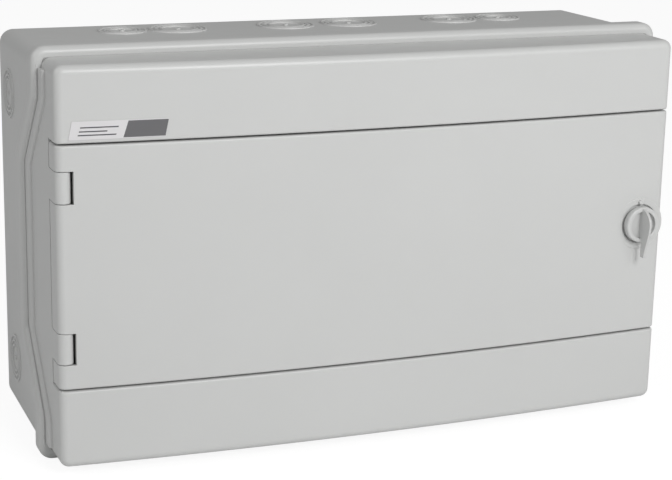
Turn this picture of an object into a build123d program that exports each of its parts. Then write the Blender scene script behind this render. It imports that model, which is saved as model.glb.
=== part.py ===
from build123d import *
import math
import os

# Surface-mounted DC combiner box, in millimetres.  The origin is the centre of the four
# wall-fixing holes on the wall face.  +Z is up and the door faces -Y, so a depth in front
# of the wall is minus Y.  Every "depth" below is measured from the wall.

# --- enclosure: outer form ---
cover_width = 420.0
cover_height = 252.0
cover_depth = 148.0          # wall to the front edges of the cover
front_bulge = 8.0            # how far the middle of the front stands beyond its edges
wall = 3.0
cover_corner = 6.0           # corner radius seen from the front
front_round = 5.0            # rounding of the front edges, and the hinge barrel's radius
base_wider = 2.0             # how far each side of the base stands out past the cover
base_taller = 1.0
base_corner = 9.0
base_spread = 1.4            # how much wider each side of the base is at its rim
back_round = 2.0
pocket_margin_x = 45.0       # from the cover's side to the shallow cells in the back
pocket_margin_z = 28.0
pocket_columns = 6
pocket_rows = 4
pocket_rib = 4.0             # rib between two cells
pocket_deep = 1.0
pocket_corner = 4.0

# --- parting line between base and cover, seen from the side ---
cover_skirt = 33.0           # length of the cover's top and bottom walls
split_inner = 72.0           # depth of the line across the middle of each side
split_margin = 24.0          # from the cover's top to where the slope starts
split_low = 54.0             # half-height where the slope ends
split_bend = 9.0
split_gap = 0.7
rim_side = 6.0               # how far the bead round the base's rim stands out past the cover
rim_end = 6.5
rim_corner = 9.0
rim_depth = 12.0
rim_round = 4.5
rim_inset = 10.5             # width of the rim's front face
seal_margin = 0.25           # from the cover's outline in to the cord, which lies under its wall
seal_width = 2.0
seal_depth = 2.5
lip_depth = 10.0             # flared lip along the rear edge of the cover's sides
lip_proud = 2.2

# --- door, recess and hinges ---
door_top = 78.0
door_bottom = -74.5
door_gap = 1.2
door_wrap = 16.5             # how far the door folds back over each side
door_rear_gap = 1.8
door_wall = 3.0
door_edge_round = 1.4
fascia_edge_round = 1.4
strip_width = 4.0            # foam strip inside the door's edge
strip_proud = 0.5            # how far it stands behind the edge
strip_hold = 4.5             # how far it goes forwards inside the edge
mask_wall = 2.5
hinge_inset = 25.75          # from the door's end to the middle of its hinge
hinge_height = 19.4
hinge_end_gap = 0.5
hinge_side_gap = 0.7
hinge_plate = 4.0
pin_radius = 1.6
pin_running = 0.05
pin_grip = 0.02
pin_hold = 7.0               # how far each pin goes into the door above and below its hinge

# --- quarter-turn latch ---
latch_inset = 19.0           # from the cover's side to the knob's axis
boss_radius = 17.5
boss_proud = 0.82            # how far the boss stands in front of the door there
groove_outer = 13.4          # groove in the boss that the knob's rim stands over
groove_inner = 10.6
groove_deep = 1.5
pointer_radius = 1.6         # raised mark above the knob
pointer_rise = 1.6
boss_deep = 8.0              # how far back the boss starts behind the front edges
knob_radius = 12.3
knob_lift = 1.0              # knob foot above the boss
knob_height = 4.4
dish_radius = 9.4
dish_floor = 1.6             # thickness of the knob under its dish
fin_thick = 2.8              # at the dish's floor
fin_crest = 1.4              # thickness at its crest
fin_rise = 9.4               # fin crest above the knob's rim
fin_tail = 22.0
shaft_radius = 5.0
shaft_running = 0.05
bush_radius = 8.0
bush_flange = 9.6
bush_gap = 0.9               # air between the tongue and the bush
cam_length = 14.0
cam_width = 7.0
cam_wall = 2.5
cam_clear = 4.6              # air between the mask and the tongue
cam_hub = 5.5
catch_clear = 0.8
catch_bite = 2.5             # how far the tongue reaches behind the catch
catch_wall = 1.8
catch_foot = 1.8
rivet_radius = 1.8

# --- rail and the modules on it ---
module = 18.0
module_gap = 0.3
module_count = 18
rail_drop = 64.0             # from a module's nose back to the rail
rail_height = 35.0
rail_deep = 7.5
rail_sheet = 1.0
rail_spare = 13.0            # how far the rail goes past the row at each end
body_height = 86.0
shoulder_drop = 20.0
nose_proud = 5.8             # how far the noses stand in front of the mask
nose_height = 45.0
window_clear = 0.6
fit_gap = 0.3                # air between a module's body and what plugs into it
fuse_count = 8
isolator_modules = 4
surge_modules = 3
blank_modules = 3
fuse_radius = 5.15
fuse_length = 38.0
fuse_gap = 0.15

# --- fixings ---
fixing_inset = 25.0          # from the cover's side to a wall-fixing hole
fixing_drop = 31.0           # from the cover's top to a wall-fixing hole
fixing_radius = 2.75
fixing_collar = 5.5
post_inset = 25.0            # from the cover's side to a post
post_drop = 18.25            # from the door's end to a post
post_radius = 6.5
post_gap = 0.3               # air between a post and the mask behind its screw
cover_screw_radius = 2.1
cover_screw_length = 26.0
screw_clear = 0.1

# --- earth bar and wires ---
earth_rise = 38.0            # earth bar above the cover's lower edge
earth_depth = 24.0
earth_deep = 9.0
earth_length = 108.0
earth_ways = 9
earth_hole = 2.6
wire_radius = 2.2
wire_entry = 6.0             # how far a wire goes into a terminal
busbar_drop = 13.0           # busbar's lower edge below the modules

# --- labels ---
label_inset = 10.0
label_length = 58.5
label_above = 2.4            # label's lower edge above the fascia's
label_height = 11.0
label_thick = 0.4

# --- knock-outs in the base's walls ---
knockout_depth = 31.0
knockout_rise = 0.9
ring_width = 1.4
small_rings = (16.0, 12.5, 9.5)
large_rings = (19.5, 16.0, 12.5)
top_small_x = 137.0
top_large_x = (23.0, 99.0)
side_small_drop = 36.0       # from the cover's top to a side knock-out

# --- values worked out from the ones above ---
reach = 400.0                # longer than any part of the box
base_width = cover_width + 2 * base_wider
base_height = cover_height + 2 * base_taller
rim_width = cover_width + 2 * rim_side
rim_height = cover_height + 2 * rim_end
split_outer = cover_depth - cover_skirt
split_high = cover_height / 2 - split_margin
side_small_z = cover_height / 2 - side_small_drop
rail_z = (door_top + door_bottom) / 2
door_rear = cover_depth - door_wrap
mask_front = door_rear - door_rear_gap
mask_rear = mask_front - mask_wall
hinge_x = front_round - cover_width / 2
hinge_depth = cover_depth - front_round
hinge_zs = (door_top - hinge_inset, door_bottom + hinge_inset)
post_x = cover_width / 2 - post_inset
post_zs = (door_top - post_drop, door_bottom + post_drop)
fixing_x = cover_width - 2 * fixing_inset
fixing_z = cover_height - 2 * fixing_drop
nose_depth = mask_front + nose_proud
shoulder_depth = nose_depth - shoulder_drop
rail_front = nose_depth - rail_drop
rail_length = module * module_count + 2 * rail_spare
row_left = -module * module_count / 2
latch_x = cover_width / 2 - latch_inset
crown_radius = (cover_width ** 2 / 4 + front_bulge ** 2) / (2 * front_bulge)
front_at_latch = cover_depth + front_bulge - crown_radius + (crown_radius ** 2 - latch_x ** 2) ** 0.5
boss_depth = front_at_latch + boss_proud
boss_rear = cover_depth - boss_deep
cam_depth = mask_front + cam_clear
earth_z = earth_rise - cover_height / 2
label_left = label_inset - cover_width / 2
label_right = label_left + label_length
knob_foot = boss_depth + knob_lift
knob_rim = knob_foot + knob_height
wire_depth = shoulder_depth - 21.5
earth_hole_depth = earth_depth + 3.6


def block(x0, x1, depth0, depth1, z0, z1):
    """Plain block between two X, two depths and two Z."""
    size = Box(x1 - x0, depth1 - depth0, z1 - z0)
    return Pos((x0 + x1) / 2, -(depth0 + depth1) / 2, (z0 + z1) / 2) * size


def slab(width, height, corner, depth0, depth1):
    """Block with rounded corners seen from the front, between two depths."""
    return extrude(Plane.XZ.offset(depth0) * RectangleRounded(width, height, corner), depth1 - depth0)


def rod(x, z, radius, depth0, depth1):
    """Round bar along Y between two depths."""
    return extrude(Plane.XZ.offset(depth0) * Pos(x, z) * Circle(radius), depth1 - depth0)


def upright(x, depth, radius, z0, z1):
    """Round bar along Z between two heights."""
    return extrude(Plane.XY.offset(z0) * Pos(x, -depth) * Circle(radius), z1 - z0)


def side_profile(points, x0, x1):
    """Outline of (depth, z) points, drawn out along X."""
    outline = make_face(Polyline(*[(-depth, z) for depth, z in points], close=True))
    return extrude(Plane.YZ.offset(x0) * outline, x1 - x0)


def save(name, shapes):
    """Write one node, which may hold several separate solids."""
    solids = [solid for shape in shapes for solid in shape.solids()]
    result = solids[0] if len(solids) == 1 else Compound(children=solids)
    export_step(result, "parts/" + name + ".step")


# ---------------------------------------------------------------- enclosure

def behind_split(shift):
    """All the space behind the parting line, moved forwards by shift."""
    outer = -(split_outer + shift)
    inner = -(split_inner + shift)
    line = [(outer, split_high), (inner, split_low), (inner, -split_low), (outer, -split_high)]
    ends = [(wall * 10, -reach), (wall * 10, reach), (outer, reach)]
    outline = make_face(Polyline(*ends, *line, (outer, -reach), close=True))
    bends = [v for v in outline.vertices() if abs(v.Y) < split_high + 1]
    outline = fillet(bends, split_bend)
    return extrude(Plane.YZ * outline, reach, both=True)


def split_band(shift0, shift1):
    """Band that follows the parting line between two shifts."""
    return behind_split(shift1) - behind_split(shift0)


def under_front(inset):
    """All the space under the curved front, moved back by inset."""
    half = cover_width / 2
    edge = -(cover_depth - inset)
    crown = ThreePointArc((-half, edge), (0, edge - front_bulge), (half, edge))
    left = Line((-half, edge), (-half, 0))
    right = Line((half, edge), (half, 0))
    back = Line((-half, 0), (half, 0))
    return extrude(Plane.XY * make_face([crown, left, right, back]), reach, both=True)


def base_form(inset, depth0, depth1):
    """Tapered outer form of the base, or of its inside when inset."""
    width = base_width - 2 * inset
    height = base_height - 2 * inset
    corner = base_corner - inset
    spread0 = 2 * base_spread * depth0 / split_outer
    spread1 = 2 * base_spread * depth1 / split_outer
    rear = Plane.XZ.offset(depth0) * RectangleRounded(width + spread0, height + spread0, corner)
    front = Plane.XZ.offset(depth1) * RectangleRounded(width + spread1, height + spread1, corner)
    return loft([rear, front], ruled=True)


def rim_ring(outer_inset, inner_inset):
    """Ring between two outlines that are both set in from the rim's outline."""
    rings = []
    for inset in (outer_inset, inner_inset):
        corner = max(rim_corner - inset, 1.5)
        outline = (rim_width - 2 * inset, rim_height - 2 * inset, corner)
        rings.append(slab(*outline, 0, cover_depth + front_bulge))
    return rings[0] - rings[1]


def knockout_places():
    """Centre, outward direction and ring radii of each knock-out."""
    lift = base_spread * knockout_depth / split_outer
    top = base_height / 2 + lift
    side = base_width / 2 + lift
    places = []
    for way in (1, -1):
        for x in (top_small_x, -top_small_x):
            places.append(((x, -knockout_depth, way * top), (0, 0, way), small_rings))
        for x in top_large_x:
            places.append(((x, -knockout_depth, way * top), (0, 0, way), large_rings))
            places.append(((-x, -knockout_depth, way * top), (0, 0, way), large_rings))
        for z in (side_small_z, -side_small_z):
            places.append(((way * side, -knockout_depth, z), (way, 0, 0), small_rings))
    return places


def knockout_rings(centre, way, radii):
    """Raised rings and centre button of one knock-out."""
    plane = Plane(origin=centre, z_dir=way).offset(-knockout_rise)
    sketch = Circle(1.6)
    for radius in radii:
        sketch = sketch + (Circle(radius) - Circle(radius - ring_width))
    return extrude(plane * sketch, 2 * knockout_rise)


def back_pockets():
    """Shallow cells in the back, which leave a grid of flat ribs between them."""
    pitch_x = (cover_width - 2 * pocket_margin_x) / pocket_columns
    pitch_z = (cover_height - 2 * pocket_margin_z) / pocket_rows
    plane = Plane.XZ.offset(-1)
    cell = extrude(plane * RectangleRounded(pitch_x - pocket_rib, pitch_z - pocket_rib, pocket_corner),
                   pocket_deep + 1)
    cells = []
    for column in range(pocket_columns):
        for row in range(pocket_rows):
            x = (column - (pocket_columns - 1) / 2) * pitch_x
            z = (row - (pocket_rows - 1) / 2) * pitch_z
            cells.append(Pos(x, 0, z) * cell)
    return cells


def make_base():
    """Deep back box with its rim bead, posts, fixing collars and knock-outs."""
    outer = base_form(0, 0, split_outer) & behind_split(0)
    outer = fillet(outer.faces().sort_by(Axis.Y)[-1].edges(), back_round)
    inside = base_form(wall, wall, split_outer + wall)
    shell = outer - inside
    bead = rim_ring(0, rim_inset) & split_band(-rim_depth, 0)
    bead = round_bead(bead)
    shell = shell + bead
    for x in (-post_x, post_x):
        for z in post_zs:
            shell = shell + rod(x, z, post_radius, wall - 0.5, mask_rear - post_gap)
    for x in (-fixing_x / 2, fixing_x / 2):
        for z in (-fixing_z / 2, fixing_z / 2):
            shell = shell + rod(x, z, fixing_collar, wall - 0.5, 2 * wall)
    for centre, way, radii in knockout_places():
        shell = shell + knockout_rings(centre, way, radii)
    shell = shell - seal_ring(0) - back_pockets()
    for x in (-post_x, post_x):
        for z in post_zs:
            pilot = cover_screw_radius + screw_clear
            hole = rod(x, z, pilot, mask_rear - cover_screw_length, mask_front)
            shell = shell - hole
    for x in (-fixing_x / 2, fixing_x / 2):
        for z in (-fixing_z / 2, fixing_z / 2):
            shell = shell - rod(x, z, fixing_radius, -1, 3 * wall)
    return shell


def round_bead(bead):
    """Round the bead's outer front edges."""
    front = []
    for edge in bead.edges():
        middle = edge @ 0.5
        at_line = abs(-middle.Y - split_depth_at(middle.Z)) < 1.2
        if at_line and on_outline(middle, rim_width, rim_height, rim_corner):
            front.append(edge)
    return fillet(front, rim_round)


def round_lip(lip):
    """Round the front outer edges of the cover's lip."""
    corner = cover_corner + lip_proud
    size = (cover_width + 2 * lip_proud, cover_height + 2 * lip_proud, corner)
    front = []
    for edge in lip.edges():
        middle = edge @ 0.5
        rise = -middle.Y - split_depth_at(middle.Z) - split_gap
        if rise > lip_depth - 1.5 and on_outline(middle, *size):
            front.append(edge)
    return fillet(front, lip_proud * 0.9)


def split_depth_at(z):
    """Depth of the parting line at a height, without its rounded bends."""
    share = (abs(z) - split_low) / (split_high - split_low)
    return split_inner + (split_outer - split_inner) * min(max(share, 0), 1)


def on_outline(point, width, height, corner):
    """Whether a point lies on a rounded rectangle seen from the front."""
    x = max(abs(point.X) - (width / 2 - corner), 0)
    z = max(abs(point.Z) - (height / 2 - corner), 0)
    return abs((x * x + z * z) ** 0.5 - corner) < 0.2


def seal_ring(top):
    """Foam cord in the rim's groove, up to top above the rim."""
    inset = rim_end + seal_margin
    return rim_ring(inset, inset + seal_width) & split_band(-seal_depth, top)


def cover_form():
    """Outer form of cover and door together, with its rounded front edges."""
    form = slab(cover_width, cover_height, cover_corner, 0, cover_depth + 2 * front_bulge)
    form = form & under_front(0)
    front = [e for e in form.edges() if (e @ 0.5).Y < -(cover_depth - 1)]
    return fillet(front, front_round)


def fascia(form, low, high):
    """Strip of the front above or below the door, with its edge at the door rounded."""
    strip = form & block(-reach, reach, mask_front, reach, low, high)
    at_door = []
    for edge in strip.edges():
        middle = edge @ 0.5
        in_front = middle.Y < -(mask_front + 1)
        if in_front and min(abs(middle.Z - low), abs(middle.Z - high)) < 0.01:
            at_door.append(edge)
    return fillet(at_door, fascia_edge_round)


def make_cover(form):
    """Front cover with its two fascias, recessed mask, hinge lugs and catch rivet."""
    top = door_top + door_gap
    bottom = door_bottom - door_gap
    outer = form & block(-reach, reach, 0, mask_front, -reach, reach)
    outer = outer + fascia(form, top, reach) + fascia(form, -reach, bottom)
    hollow = slab(cover_width - 2 * wall, cover_height - 2 * wall, cover_corner - wall, -wall, reach)
    hollow = hollow & under_front(wall)
    shell = outer - hollow - behind_split(split_gap)
    lip_outline = (cover_width + 2 * lip_proud, cover_height + 2 * lip_proud, cover_corner + lip_proud)
    inner = slab(cover_width - 2 * wall, cover_height - 2 * wall, cover_corner - wall, 0, reach)
    lip = slab(*lip_outline, 0, reach) - inner
    lip = lip & split_band(split_gap, split_gap + lip_depth)
    lip_end = cover_height / 2 - cover_corner
    lip = round_lip(lip) & block(-reach, reach, 0, reach, -lip_end, lip_end)
    shell = shell + lip
    half = cover_width / 2
    inner_half = half - wall / 2
    front_limit = under_front(wall / 2)
    shelves = block(-inner_half, inner_half, mask_rear, reach, top, top + wall)
    shelves = shelves + block(-inner_half, inner_half, mask_rear, reach, bottom - wall, bottom)
    shell = shell + (shelves & front_limit)
    mask = block(-inner_half, inner_half, mask_rear, mask_front, bottom - wall, top + wall)
    window_half = -row_left + window_clear
    window_rise = nose_height / 2 + window_clear
    window = block(-window_half, window_half, 0, reach, rail_z - window_rise, rail_z + window_rise)
    shell = shell + mask - window
    for z in hinge_zs:
        shell = shell + hinge_lug(z)
    x, z = catch_rivet()
    shell = shell + rod(x, z, rivet_radius, mask_front - 0.5, mask_front + catch_foot + 0.8)
    for x in (-post_x, post_x):
        for z in post_zs:
            hole = rod(x, z, cover_screw_radius + 2 * screw_clear, 0, reach)
            shell = shell - (hole & block(-reach, reach, mask_rear - 1, mask_front + 1, -reach, reach))
    return shell


def hinge_lug(z):
    """Barrel at the cover's front corner, on a plate that grows from the side wall."""
    low = z - hinge_height / 2
    high = z + hinge_height / 2
    side = -cover_width / 2
    plate = block(side, side + hinge_plate, mask_rear, hinge_depth, low, high)
    lug = plate + upright(hinge_x, hinge_depth, front_round, low, high)
    return lug - upright(hinge_x, hinge_depth, pin_radius + pin_running, low - 1, high + 1)


def catch_rivet():
    """X and Z of the moulded rivet that holds the latch's catch."""
    tip = latch_x - cam_length
    return tip - catch_bite - catch_wall - 2.5 * rivet_radius, rail_z


def make_latch_catch():
    """Bent plate on the mask, with the hook that the latch's tongue turns behind."""
    hook_low = cam_depth + cam_wall + catch_clear
    hook_high = hook_low + catch_wall
    tip = latch_x - cam_length
    post = tip - catch_bite
    outer = post - catch_wall
    low = rail_z - cam_width
    high = rail_z + cam_width
    x, z = catch_rivet()
    plate = block(x - 2.5 * rivet_radius, post, mask_front, mask_front + catch_foot, low, high)
    plate = plate + block(outer, post, mask_front, hook_high, low, high)
    plate = plate + block(outer, tip + catch_bite, hook_low, hook_high, low, high)
    return plate - rod(x, z, rivet_radius + 0.1, 0, mask_front + catch_foot + 1)


# ---------------------------------------------------------------- door and latch

def make_door(form):
    """Door that wraps onto both sides, with hinge knuckles and the latch boss."""
    half = cover_width / 2
    leaf = form & block(-reach, reach, door_rear, reach, door_bottom, door_top)
    ends = [face for face in leaf.faces() if abs(face.normal_at().Z) > 0.9]
    edges = [e for face in ends for e in face.edges() if (e @ 0.5).Y < -(door_rear + 1)]
    leaf = fillet(edges, door_edge_round)
    pocket = block(door_wall - half, half - door_wall, 0, reach,
                   door_bottom + door_wall, door_top - door_wall)
    leaf = leaf - (pocket & under_front(door_wall))
    for z in hinge_zs:
        low = z - hinge_height / 2 - hinge_end_gap
        high = z + hinge_height / 2 + hinge_end_gap
        for z0, z1 in ((low - pin_hold - 2, low + 1), (high - 1, high + pin_hold + 2)):
            leaf = leaf + upright(hinge_x, hinge_depth, front_round - 0.5, z0, z1)
        notch_end = hinge_x + front_round + hinge_side_gap
        leaf = leaf - block(-reach, notch_end, 0, reach, low, high)
        hole = pin_radius + pin_grip
        leaf = leaf - upright(hinge_x, hinge_depth, hole, low - pin_hold, high + pin_hold)
    leaf = leaf + rod(latch_x, rail_z, boss_radius, boss_rear, boss_depth)
    pointer_z = rail_z + groove_outer + pointer_radius
    leaf = leaf + rod(latch_x, pointer_z, pointer_radius, boss_rear, boss_depth + pointer_rise)
    groove = rod(latch_x, rail_z, groove_outer, boss_depth - groove_deep, reach)
    leaf = leaf - (groove - rod(latch_x, rail_z, groove_inner, 0, boss_depth))
    return leaf - rod(latch_x, rail_z, bush_radius, 0, reach)


def make_hinge_pin(z):
    """Steel pin held in the door and turning in the cover's barrel."""
    length = hinge_height / 2 + hinge_end_gap + pin_hold
    return upright(hinge_x, hinge_depth, pin_radius, z - length, z + length)


def make_door_seal():
    """Lengths of foam strip round the inside of the door's edge, left out at the hinges."""
    half = cover_width / 2 - door_wall
    low = door_bottom + door_wall
    high = door_top - door_wall
    clear = hinge_height / 2 + hinge_end_gap
    upper, lower = hinge_zs
    left = (-half, strip_width - half)
    stretches = [(-half, half, high - strip_width, high),
                 (-half, half, low, low + strip_width),
                 (half - strip_width, half, low + strip_width, high - strip_width),
                 (*left, upper + clear, high - strip_width),
                 (*left, lower + clear, upper - clear),
                 (*left, low + strip_width, lower - clear)]
    rear = door_rear - strip_proud
    front = door_rear + strip_hold
    return [block(x0, x1, rear, front, z0, z1) for x0, x1, z0, z1 in stretches]


def make_latch_bush():
    """Flanged bush in the door that the knob's shaft turns in."""
    bush = rod(latch_x, rail_z, bush_radius, boss_rear, boss_depth)
    bush = bush + rod(latch_x, rail_z, bush_flange, cam_depth + cam_wall + bush_gap, boss_rear)
    return bush - rod(latch_x, rail_z, shaft_radius + shaft_running, 0, reach)


def latch_fin():
    """Blade with a curved crest that rises from the dish and runs down into a tail."""
    floor = knob_foot + dish_floor
    heights = [(-0.8, knob_radius - 0.7), (fin_rise * 0.62, 8.4), (fin_rise * 0.97, 3.2),
               (fin_rise * 0.95, -3.0), (fin_rise * 0.78, -9.0), (fin_rise * 0.57, -15.5),
               (fin_rise * 0.40, -fin_tail)]
    crest = Spline(*[(-(knob_rim + rise), rail_z + z) for rise, z in heights])
    tail_rear = knob_rim + 0.3
    back = [(knob_rim + fin_rise * 0.40, -fin_tail), (tail_rear, -fin_tail),
            (tail_rear, 1 - knob_radius), (floor - 0.4, 2 - knob_radius),
            (floor - 0.4, knob_radius - 2), (knob_rim - 0.8, knob_radius - 0.7)]
    outline = make_face([crest, Polyline(*[(-depth, rail_z + z) for depth, z in back])])
    blade = extrude(Plane.YZ.offset(latch_x - fin_thick / 2) * outline, fin_thick)
    foot = fin_thick / 2
    tip = fin_crest / 2
    front = knob_rim + fin_rise
    taper = [(latch_x - foot, 1 - floor), (latch_x + foot, 1 - floor), (latch_x + tip, -front - 0.2),
             (latch_x - tip, -front - 0.2)]
    return blade & extrude(Plane.XY * make_face(Polyline(*taper, close=True)), reach, both=True)


def make_latch_knob():
    """Dished knob with a long-tailed fin and the shaft that goes through the door."""
    knob = rod(latch_x, rail_z, knob_radius, knob_foot, knob_rim)
    rim = knob.faces().sort_by(Axis.Y)[0].edges()
    knob = fillet(rim, 1.2)
    knob = knob - rod(latch_x, rail_z, dish_radius, knob_foot + dish_floor, reach)
    fin = latch_fin()
    shaft = rod(latch_x, rail_z, shaft_radius, cam_depth + cam_wall, knob_foot + 0.5)
    tang = block(latch_x - 3, latch_x + 3, cam_depth, cam_depth + cam_wall + 0.5, rail_z - 3, rail_z + 3)
    pilot = rod(latch_x, rail_z, 1.5, cam_depth - 1, cam_depth + 8)
    return knob + fin + shaft + tang - pilot


def make_latch_seal():
    """Ring that seals the knob against the door's boss."""
    ring = rod(latch_x, rail_z, bush_radius + 1.8, boss_depth, knob_foot - knob_lift * 0.3)
    return ring - rod(latch_x, rail_z, shaft_radius + 1.0, 0, reach)


def make_latch_cam():
    """Pressed tongue on the shaft's square end."""
    half = cam_width / 2
    tongue = block(latch_x - half, latch_x + half, cam_depth, cam_depth + cam_wall,
                   rail_z - cam_length, rail_z)
    tongue = tongue + rod(latch_x, rail_z, cam_hub, cam_depth, cam_depth + cam_wall)
    square = 3 + screw_clear
    return tongue - block(latch_x - square, latch_x + square, 0, reach, rail_z - square, rail_z + square)


def make_latch_screw():
    """Screw that holds the tongue on the shaft."""
    head = rod(latch_x, rail_z, 4.4, cam_depth - 2.2, cam_depth)
    return head + rod(latch_x, rail_z, 1.4, cam_depth - 1, cam_depth + 7)


def screw(x, z, head_radius, head_depth, shank_radius, tip, head_front):
    """Cross-slotted pan-head screw along Y, with its head at the front."""
    body = rod(x, z, head_radius, head_front - head_depth, head_front)
    body = fillet(body.faces().sort_by(Axis.Y)[0].edges(), head_depth * 0.4)
    body = body + rod(x, z, shank_radius, tip, head_front - head_depth)
    arm = head_radius * 0.6
    slot = head_radius * 0.13
    for half_x, half_z in ((arm, slot), (slot, arm)):
        body = body - block(x - half_x, x + half_x, head_front - head_depth * 0.5, reach,
                            z - half_z, z + half_z)
    return body


def make_cover_screws():
    """Four screws that draw the cover onto the base's posts."""
    tip = mask_rear - cover_screw_length + 2
    screws = []
    for x in (-post_x, post_x):
        for z in post_zs:
            screws.append(screw(x, z, 4.5, 3, cover_screw_radius, tip, mask_front + 3))
    return screws


# ---------------------------------------------------------------- rail and modules

def make_rail():
    """Top-hat rail."""
    half = rail_height / 2
    waist = half - 4
    front = rail_front
    rear = rail_front - rail_deep
    points = [(front, half), (front, waist - rail_sheet), (rear + rail_sheet, waist - rail_sheet),
              (rear + rail_sheet, rail_sheet - waist), (front, rail_sheet - waist), (front, -half),
              (front - rail_sheet, -half), (front - rail_sheet, -waist), (rear, -waist), (rear, waist),
              (front - rail_sheet, waist), (front - rail_sheet, half)]
    profile = [(depth, rail_z + z) for depth, z in points]
    rail = side_profile(profile, -rail_length / 2, rail_length / 2)
    for x in rail_screw_places():
        rail = rail - rod(x, rail_z, 2.3, 0, reach)
    return rail


def rail_screw_places():
    """X of the screws that hold the rail on its brackets."""
    inset = 12.0
    return (inset - rail_length / 2, rail_length / 2 - inset)


def make_rail_brackets():
    """Two bent risers that carry the rail off the base's back."""
    top = rail_front - rail_deep
    sheet = 2.0
    leg = 16.0
    foot = 12.0
    floor = wall
    points = [(floor, -leg - foot), (floor, -leg + sheet), (top - sheet, -leg + sheet),
              (top - sheet, leg - sheet), (floor, leg - sheet), (floor, leg + foot),
              (floor + sheet, leg + foot), (floor + sheet, leg), (top, leg), (top, -leg),
              (floor + sheet, -leg), (floor + sheet, -leg - foot)]
    profile = [(depth, rail_z + z) for depth, z in points]
    brackets = []
    for x in rail_screw_places():
        bracket = side_profile(profile, x - 9, x + 9)
        brackets.append(bracket - rod(x, rail_z, 1.9, top - 10, reach))
    return brackets


def make_rail_screws():
    """Screws through the rail into its brackets."""
    seat = rail_front - rail_deep + rail_sheet
    return [screw(x, rail_z, 4.0, 2.5, 1.8, seat - 9, seat + 2.5) for x in rail_screw_places()]


def module_body(x0, x1, front=nose_depth):
    """Stepped module housing that clips over the rail."""
    half = rail_height / 2
    grip = half - 2
    back = rail_front - 3.5
    seat = rail_front + 0.2
    behind = rail_front - rail_sheet - 0.2
    tall = body_height / 2
    nose = nose_height / 2
    upper = [(seat, half + 0.2), (behind, half + 0.2), (behind, grip), (back, grip), (back, tall),
             (shoulder_depth, tall), (shoulder_depth, nose), (front, nose)]
    lower = [(depth, -z) for depth, z in reversed(upper)]
    profile = [(depth, rail_z + z) for depth, z in upper + lower]
    return side_profile(profile, x0 + module_gap / 2, x1 - module_gap / 2)


def terminal_z(way):
    """Height of the terminal screws, above (1) or below (-1) the nose."""
    return rail_z + way * (nose_height + body_height) / 4


def drill_terminals(body, centres):
    """Screw wells in the shoulders and wire holes in the ends."""
    for x in centres:
        for way in (1, -1):
            body = body - rod(x, terminal_z(way), 3.2, shoulder_depth - 14, reach)
            end = rail_z + way * body_height / 2
            body = body - block(x - 3.5, x + 3.5, shoulder_depth - 26, shoulder_depth - 17,
                                end - 10, end + 10)
    return body


def fuse_centre(index):
    """X of one fuse holder's middle."""
    return row_left + module * (index + 0.5)


def fuse_pocket(x, gap):
    """Space in a fuse holder for its carrier, or the carrier's body when gap is zero."""
    half = 6.5 + gap
    rise = fuse_length / 2 + 1.5 + gap
    return block(x - half, x + half, nose_depth - 26 - gap, nose_depth, rail_z - rise, rail_z + rise)


def make_fuse_holder(x):
    """One-module fuse base."""
    body = module_body(x - module / 2, x + module / 2)
    body = body - fuse_pocket(x, fit_gap)
    return drill_terminals(body, [x])


def make_fuse_carrier(x):
    """Drawer with a front grip that holds the fuse link."""
    carrier = fuse_pocket(x, 0)
    plate_half = module / 2 - 0.6
    rise = nose_height / 2 - 0.4
    plate = block(x - plate_half, x + plate_half, nose_depth + 0.2, nose_depth + 3.2,
                  rail_z - rise, rail_z + rise)
    plate = fillet(plate.faces().sort_by(Axis.Y)[0].edges(), 0.8)
    neck = block(x - 5, x + 5, nose_depth - 1, nose_depth + 1, rail_z - 16, rail_z + 16)
    grip = side_profile([(nose_depth + 3, rail_z + 16), (nose_depth + 7.5, rail_z + 13),
                         (nose_depth + 7.5, rail_z + 9), (nose_depth + 3, rail_z + 2)], x - 5.5, x + 5.5)
    window = block(x - 2.2, x + 2.2, nose_depth + 2.2, reach, rail_z - 14, rail_z - 7)
    seat = fuse_bar(x, fuse_radius + fuse_gap, fuse_length + 2 * fuse_gap)
    way_in = block(x - 4.6, x + 4.6, 0, fuse_axis_depth(), rail_z - 16, rail_z + 16)
    return carrier + plate + neck + grip - window - seat - way_in


def fuse_axis_depth():
    """Depth of a fuse link's axis."""
    return nose_depth - 14


def fuse_bar(x, radius, length):
    """Bar on a fuse link's axis."""
    return upright(x, fuse_axis_depth(), radius, rail_z - length / 2, rail_z + length / 2)


def make_fuse_link(x):
    """Cylindrical fuse with a slightly waisted ceramic body between its end caps."""
    cap = 10.0
    middle = fuse_bar(x, fuse_radius - 0.35, fuse_length - 2)
    for way in (1, -1):
        end = rail_z + way * fuse_length / 2
        low, high = sorted((end, end - way * cap))
        middle = middle + upright(x, fuse_axis_depth(), fuse_radius, low, high)
    return middle


def make_isolator():
    """Switch-disconnector body, four modules wide."""
    left = row_left + module * fuse_count
    right = left + module * isolator_modules
    body = module_body(left, right)
    middle = (left + right) / 2
    body = body - rod(middle, rail_z, 4.0 + fit_gap, nose_depth - 12, reach)
    centres = [left + module * (index + 0.5) for index in range(isolator_modules)]
    return drill_terminals(body, centres)


def make_isolator_handle():
    """Rotary handle with its spindle."""
    x = isolator_x()
    disc = rod(x, rail_z, 15, nose_depth + 0.5, nose_depth + 4)
    disc = fillet(disc.faces().sort_by(Axis.Y)[0].edges(), 1.0)
    bar = block(x - 4, x + 4, nose_depth + 3, nose_depth + 9, rail_z - 15, rail_z + 15)
    bar = fillet(bar.faces().sort_by(Axis.Y)[0].edges(), 1.5)
    spindle = rod(x, rail_z, 4.0, nose_depth - 11, nose_depth + 1)
    return disc + (bar & rod(x, rail_z, 14.5, 0, reach)) + spindle


def isolator_x():
    """X of the isolator's middle."""
    return row_left + module * (fuse_count + isolator_modules / 2)


def surge_left():
    """X of the surge arrester's left side."""
    return row_left + module * (fuse_count + isolator_modules)


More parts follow.
